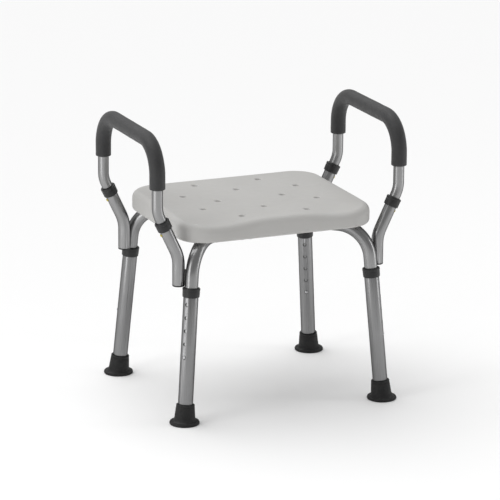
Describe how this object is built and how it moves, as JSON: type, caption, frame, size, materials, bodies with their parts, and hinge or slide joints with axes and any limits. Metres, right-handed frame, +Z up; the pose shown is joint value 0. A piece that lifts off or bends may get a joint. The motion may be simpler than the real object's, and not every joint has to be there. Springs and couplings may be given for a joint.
{
  "type": "shower stool",
  "caption": "Shower stool: moulded plastic seat with drain holes on a crossed aluminium tube frame, lift-off padded arm loops, and telescopic legs on flanged rubber feet.",
  "frame": {"origin": "middle of the stool's box, on the floor", "axes": "+Z up, +X to the sitter's right, -Y to the front edge with the thigh scallops"},
  "size_m": [0.5296, 0.401, 0.555],
  "materials": {
    "seat_plastic": "light warm grey blow-moulded polyethylene with a fine moulded grain",
    "aluminium_tube": "satin anodised drawn tube",
    "black_plastic": "black moulded collars and plugs",
    "rubber_foot": "black moulded rubber",
    "foam_grip": "charcoal closed-cell foam sleeve",
    "brass_button": "brass-coloured spring button",
    "steel_button": "plated spring button",
    "spring_steel": "folded leaf spring",
    "screw_steel": "plated screw, bolt and nut"
  },
  "bodies": {
    "frame": {"seat": "seat_plastic", "frame_tube_upper": "aluminium_tube", "frame_tube_lower": "aluminium_tube", "cross_bolt": "screw_steel", "cross_nut": "screw_steel", "seat_screw_front_left": "screw_steel", "seat_screw_front_right": "screw_steel", "seat_screw_rear_left": "screw_steel", "seat_screw_rear_right": "screw_steel", "arm_socket_front_left": "aluminium_tube", "arm_socket_front_right": "aluminium_tube", "arm_socket_rear_left": "aluminium_tube", "arm_socket_rear_right": "aluminium_tube", "socket_web_front_left": "aluminium_tube", "socket_web_front_right": "aluminium_tube", "socket_web_rear_left": "aluminium_tube", "socket_web_rear_right": "aluminium_tube", "socket_plug_front_left": "black_plastic", "socket_plug_front_right": "black_plastic", "socket_plug_rear_left": "black_plastic", "socket_plug_rear_right": "black_plastic", "arm_collar_front_left": "black_plastic", "arm_collar_front_right": "black_plastic", "arm_collar_rear_left": "black_plastic", "arm_collar_rear_right": "black_plastic", "leg_leaf_spring_front_left": "spring_steel", "leg_leaf_spring_front_right": "spring_steel", "leg_leaf_spring_rear_left": "spring_steel", "leg_leaf_spring_rear_right": "spring_steel"},
    "leg_front_left": {"leg_tube_front_left": "aluminium_tube", "leg_collar_front_left": "black_plastic", "foot_front_left": "rubber_foot"},
    "leg_front_right": {"leg_tube_front_right": "aluminium_tube", "leg_collar_front_right": "black_plastic", "foot_front_right": "rubber_foot"},
    "leg_rear_left": {"leg_tube_rear_left": "aluminium_tube", "leg_collar_rear_left": "black_plastic", "foot_rear_left": "rubber_foot"},
    "leg_rear_right": {"leg_tube_rear_right": "aluminium_tube", "leg_collar_rear_right": "black_plastic", "foot_rear_right": "rubber_foot"},
    "arm_left": {"arm_tube_left": "aluminium_tube", "arm_grip_left": "foam_grip", "arm_leaf_spring_front_left": "spring_steel", "arm_leaf_spring_rear_left": "spring_steel"},
    "arm_right": {"arm_tube_right": "aluminium_tube", "arm_grip_right": "foam_grip", "arm_leaf_spring_front_right": "spring_steel", "arm_leaf_spring_rear_right": "spring_steel"},
    "leg_button_front_left": {"leg_button_front_left": "steel_button"},
    "arm_button_front_left": {"arm_button_front_left": "brass_button"},
    "leg_button_front_right": {"leg_button_front_right": "steel_button"},
    "arm_button_front_right": {"arm_button_front_right": "brass_button"},
    "leg_button_rear_left": {"leg_button_rear_left": "steel_button"},
    "arm_button_rear_left": {"arm_button_rear_left": "brass_button"},
    "leg_button_rear_right": {"leg_button_rear_right": "steel_button"},
    "arm_button_rear_right": {"arm_button_rear_right": "brass_button"}
  },
  "joints": [
    {"name": "leg_height_front_left", "type": "slide", "parent": "frame", "child": "leg_front_left", "axis": [-0.0761, -0.0632, -0.9951], "range_m": [0, 0.1016], "deforming": ["leg_button_front_left"]},
    {"name": "leg_height_front_right", "type": "slide", "parent": "frame", "child": "leg_front_right", "axis": [0.0761, -0.0632, -0.9951], "range_m": [0, 0.1016], "deforming": ["leg_button_front_right"]},
    {"name": "leg_height_rear_left", "type": "slide", "parent": "frame", "child": "leg_rear_left", "axis": [-0.0761, 0.0632, -0.9951], "range_m": [0, 0.1016], "deforming": ["leg_button_rear_left"]},
    {"name": "leg_height_rear_right", "type": "slide", "parent": "frame", "child": "leg_rear_right", "axis": [0.0761, 0.0632, -0.9951], "range_m": [0, 0.1016], "deforming": ["leg_button_rear_right"]},
    {"name": "arm_lift_left", "type": "slide", "parent": "frame", "child": "arm_left", "axis": [-0.4337, 0, 0.9011], "range_m": [0, 0.075], "deforming": ["arm_button_front_left", "arm_button_rear_left"]},
    {"name": "arm_lift_right", "type": "slide", "parent": "frame", "child": "arm_right", "axis": [0.4337, 0, 0.9011], "range_m": [0, 0.075], "deforming": ["arm_button_front_right", "arm_button_rear_right"]},
    {"name": "leg_button_press_front_left", "type": "slide", "parent": "frame", "child": "leg_button_front_left", "axis": [0.795, 0.5985, -0.0989], "range_m": [0, 0.0035], "stiffness_N_per_m": 800, "springref_m": -0.002, "deforming": ["leg_leaf_spring_front_left"]},
    {"name": "leg_button_press_front_right", "type": "slide", "parent": "frame", "child": "leg_button_front_right", "axis": [-0.795, 0.5985, -0.0989], "range_m": [0, 0.0035], "stiffness_N_per_m": 800, "springref_m": -0.002, "deforming": ["leg_leaf_spring_front_right"]},
    {"name": "leg_button_press_rear_left", "type": "slide", "parent": "frame", "child": "leg_button_rear_left", "axis": [0.795, -0.5985, -0.0989], "range_m": [0, 0.0035], "stiffness_N_per_m": 800, "springref_m": -0.002, "deforming": ["leg_leaf_spring_rear_left"]},
    {"name": "leg_button_press_rear_right", "type": "slide", "parent": "frame", "child": "leg_button_rear_right", "axis": [0.4798, 0.8725, 0.0922], "range_m": [0, 0.0035], "stiffness_N_per_m": 800, "springref_m": -0.002, "deforming": ["leg_leaf_spring_rear_right"]},
    {"name": "arm_button_press_front_left", "type": "slide", "parent": "arm_left", "child": "arm_button_front_left", "axis": [0.9011, 0, 0.4337], "range_m": [0, 0.0038], "stiffness_N_per_m": 800, "springref_m": -0.002, "deforming": ["arm_leaf_spring_front_left"]},
    {"name": "arm_button_press_front_right", "type": "slide", "parent": "arm_right", "child": "arm_button_front_right", "axis": [-0.9011, 0, 0.4337], "range_m": [0, 0.0038], "stiffness_N_per_m": 800, "springref_m": -0.002, "deforming": ["arm_leaf_spring_front_right"]},
    {"name": "arm_button_press_rear_left", "type": "slide", "parent": "arm_left", "child": "arm_button_rear_left", "axis": [0.9011, 0, 0.4337], "range_m": [0, 0.0038], "stiffness_N_per_m": 800, "springref_m": -0.002, "deforming": ["arm_leaf_spring_rear_left"]},
    {"name": "arm_button_press_rear_right", "type": "slide", "parent": "arm_right", "child": "arm_button_rear_right", "axis": [-0.9011, 0, 0.4337], "range_m": [0, 0.0038], "stiffness_N_per_m": 800, "springref_m": -0.002, "deforming": ["arm_leaf_spring_rear_right"]}
  ]
}
